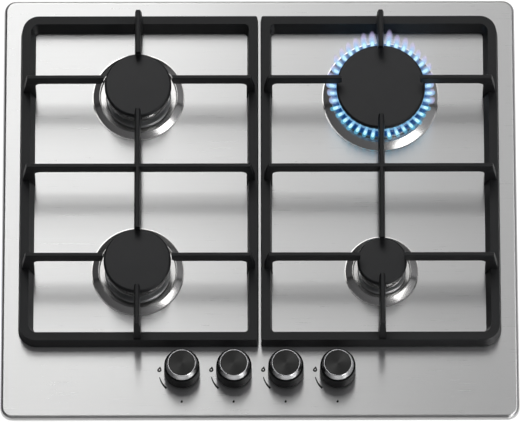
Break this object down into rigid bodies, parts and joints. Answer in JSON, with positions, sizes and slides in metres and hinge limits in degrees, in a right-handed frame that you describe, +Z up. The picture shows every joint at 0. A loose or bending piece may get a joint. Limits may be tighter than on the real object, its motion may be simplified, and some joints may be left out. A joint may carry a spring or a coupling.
{
  "type": "gas cooktop",
  "caption": "Built-in gas cooktop: brushed steel panel on a shallow tray, round burners with caps, cast pan supports and a row of push-and-turn knobs.",
  "frame": {"origin": "middle of the underside of the tray, at the centre of the overall box", "axes": "+Z up, +X to the user's right, +Y towards the wall; the knobs are at -Y"},
  "size_m": [0.59, 0.51, 0.111],
  "materials": {
    "brushed_panel": "brushed from side to side",
    "tray_sheet": "zinc-coated sheet, matt",
    "spring_steel": "bright spring strip",
    "fastener_steel": "zinc-plated",
    "seal_foam": "closed-cell foam",
    "grate_iron": "matt black enamel",
    "foot_rubber": "matt silicone rubber",
    "cap_enamel": "matt black enamel on steel",
    "cast_aluminium": "satin casting",
    "polished_collar": "polished steel",
    "cup_alloy": "die-cast, matt",
    "brass": "machined",
    "ceramic": "stands for glazed white ceramic",
    "steel_pin": "bright drawn wire",
    "knob_black": "satin black moulding",
    "knob_chrome": "polished",
    "knob_top": "black, turned grain",
    "spindle_steel": "turned",
    "tap_alloy": "hot-pressed alloy",
    "pipe_alloy": "drawn tube",
    "rail_steel": "zinc-coated tube",
    "switch_white": "moulded strip",
    "box_plastic": "moulded box",
    "bush_rubber": "grommet"
  },
  "bodies": {
    "base": {"top_panel": "brushed_panel", "base_tray": "tray_sheet", "tray_brackets": "tray_sheet", "tray_screws": "fastener_steel", "rim_seal": "seal_foam", "worktop_clips": "spring_steel", "gas_jets": "brass", "spark_insulators": "ceramic", "spark_pins": "steel_pin", "thermocouples": "steel_pin", "gas_taps": "tap_alloy", "rail_clamps": "tap_alloy", "clamp_screws": "fastener_steel", "gas_rail": "rail_steel", "burner_pipes": "pipe_alloy", "gas_inlet": "brass", "ignition_switches": "switch_white", "spark_generator": "box_plastic", "terminal_block": "switch_white", "cord_bush": "bush_rubber", "burner_collar_front_left": "polished_collar", "burner_cup_front_left": "cup_alloy", "burner_collar_rear_left": "polished_collar", "burner_cup_rear_left": "cup_alloy", "burner_collar_rear_right": "polished_collar", "burner_cup_rear_right": "cup_alloy", "burner_collar_front_right": "polished_collar", "burner_cup_front_right": "cup_alloy"},
    "pan_support_left": {"pan_support_left": "grate_iron", "pan_support_feet_left": "foot_rubber"},
    "pan_support_right": {"pan_support_right": "grate_iron", "pan_support_feet_right": "foot_rubber"},
    "spreader_front_left": {"flame_spreader_front_left": "cast_aluminium"},
    "cap_front_left": {"burner_cap_front_left": "cap_enamel"},
    "push_front_left": {"thrust_ring_front_left": "spindle_steel"},
    "knob_front_left": {"knob_front_left": "knob_black", "knob_ring_front_left": "knob_chrome", "knob_insert_front_left": "knob_top", "tap_spindle_front_left": "spindle_steel"},
    "spreader_rear_left": {"flame_spreader_rear_left": "cast_aluminium"},
    "cap_rear_left": {"burner_cap_rear_left": "cap_enamel"},
    "push_rear_left": {"thrust_ring_rear_left": "spindle_steel"},
    "knob_rear_left": {"knob_rear_left": "knob_black", "knob_ring_rear_left": "knob_chrome", "knob_insert_rear_left": "knob_top", "tap_spindle_rear_left": "spindle_steel"},
    "spreader_rear_right": {"flame_spreader_rear_right": "cast_aluminium"},
    "cap_rear_right": {"burner_cap_rear_right": "cap_enamel"},
    "push_rear_right": {"thrust_ring_rear_right": "spindle_steel"},
    "knob_rear_right": {"knob_rear_right": "knob_black", "knob_ring_rear_right": "knob_chrome", "knob_insert_rear_right": "knob_top", "tap_spindle_rear_right": "spindle_steel"},
    "spreader_front_right": {"flame_spreader_front_right": "cast_aluminium"},
    "cap_front_right": {"burner_cap_front_right": "cap_enamel"},
    "push_front_right": {"thrust_ring_front_right": "spindle_steel"},
    "knob_front_right": {"knob_front_right": "knob_black", "knob_ring_front_right": "knob_chrome", "knob_insert_front_right": "knob_top", "tap_spindle_front_right": "spindle_steel"}
  },
  "joints": [
    {"name": "pan_support_left_lift", "type": "slide", "parent": "base", "child": "pan_support_left", "axis": [0, 0, 1], "range_m": [0, 0.2]},
    {"name": "pan_support_right_lift", "type": "slide", "parent": "base", "child": "pan_support_right", "axis": [0, 0, 1], "range_m": [0, 0.2]},
    {"name": "spreader_front_left_lift", "type": "slide", "parent": "base", "child": "spreader_front_left", "axis": [0, 0, 1], "range_m": [0, 0.05]},
    {"name": "cap_front_left_lift", "type": "slide", "parent": "spreader_front_left", "child": "cap_front_left", "axis": [0, 0, 1], "range_m": [0, 0.05]},
    {"name": "push_front_left", "type": "slide", "parent": "base", "child": "push_front_left", "axis": [0, 0, -1], "range_m": [0, 0.0035], "stiffness_N_per_m": 2000, "springref_m": -0.002},
    {"name": "turn_front_left", "type": "hinge", "parent": "push_front_left", "child": "knob_front_left", "pos_m": [-0.0885, -0.2, 0.054], "axis": [0, 0, 1], "range_deg": [0, 210]},
    {"name": "spreader_rear_left_lift", "type": "slide", "parent": "base", "child": "spreader_rear_left", "axis": [0, 0, 1], "range_m": [0, 0.05]},
    {"name": "cap_rear_left_lift", "type": "slide", "parent": "spreader_rear_left", "child": "cap_rear_left", "axis": [0, 0, 1], "range_m": [0, 0.05]},
    {"name": "push_rear_left", "type": "slide", "parent": "base", "child": "push_rear_left", "axis": [0, 0, -1], "range_m": [0, 0.0035], "stiffness_N_per_m": 2000, "springref_m": -0.002},
    {"name": "turn_rear_left", "type": "hinge", "parent": "push_rear_left", "child": "knob_rear_left", "pos_m": [-0.0295, -0.2, 0.054], "axis": [0, 0, 1], "range_deg": [0, 210]},
    {"name": "spreader_rear_right_lift", "type": "slide", "parent": "base", "child": "spreader_rear_right", "axis": [0, 0, 1], "range_m": [0, 0.05]},
    {"name": "cap_rear_right_lift", "type": "slide", "parent": "spreader_rear_right", "child": "cap_rear_right", "axis": [0, 0, 1], "range_m": [0, 0.05]},
    {"name": "push_rear_right", "type": "slide", "parent": "base", "child": "push_rear_right", "axis": [0, 0, -1], "range_m": [0, 0.0035], "stiffness_N_per_m": 2000, "springref_m": -0.002},
    {"name": "turn_rear_right", "type": "hinge", "parent": "push_rear_right", "child": "knob_rear_right", "pos_m": [0.0295, -0.2, 0.054], "axis": [0, 0, 1], "range_deg": [-150, 60]},
    {"name": "spreader_front_right_lift", "type": "slide", "parent": "base", "child": "spreader_front_right", "axis": [0, 0, 1], "range_m": [0, 0.05]},
    {"name": "cap_front_right_lift", "type": "slide", "parent": "spreader_front_right", "child": "cap_front_right", "axis": [0, 0, 1], "range_m": [0, 0.05]},
    {"name": "push_front_right", "type": "slide", "parent": "base", "child": "push_front_right", "axis": [0, 0, -1], "range_m": [0, 0.0035], "stiffness_N_per_m": 2000, "springref_m": -0.002},
    {"name": "turn_front_right", "type": "hinge", "parent": "push_front_right", "child": "knob_front_right", "pos_m": [0.0885, -0.2, 0.054], "axis": [0, 0, 1], "range_deg": [0, 210]}
  ],
  "couplings": [
    {"joint": "spreader_front_left_lift", "follows": "pan_support_left_lift", "ratio": 0.25},
    {"joint": "cap_front_left_lift", "follows": "pan_support_left_lift", "ratio": 0.25},
    {"joint": "spreader_rear_left_lift", "follows": "pan_support_left_lift", "ratio": 0.25},
    {"joint": "cap_rear_left_lift", "follows": "pan_support_left_lift", "ratio": 0.25},
    {"joint": "spreader_rear_right_lift", "follows": "pan_support_right_lift", "ratio": 0.25},
    {"joint": "cap_rear_right_lift", "follows": "pan_support_right_lift", "ratio": 0.25},
    {"joint": "spreader_front_right_lift", "follows": "pan_support_right_lift", "ratio": 0.25},
    {"joint": "cap_front_right_lift", "follows": "pan_support_right_lift", "ratio": 0.25}
  ]
}
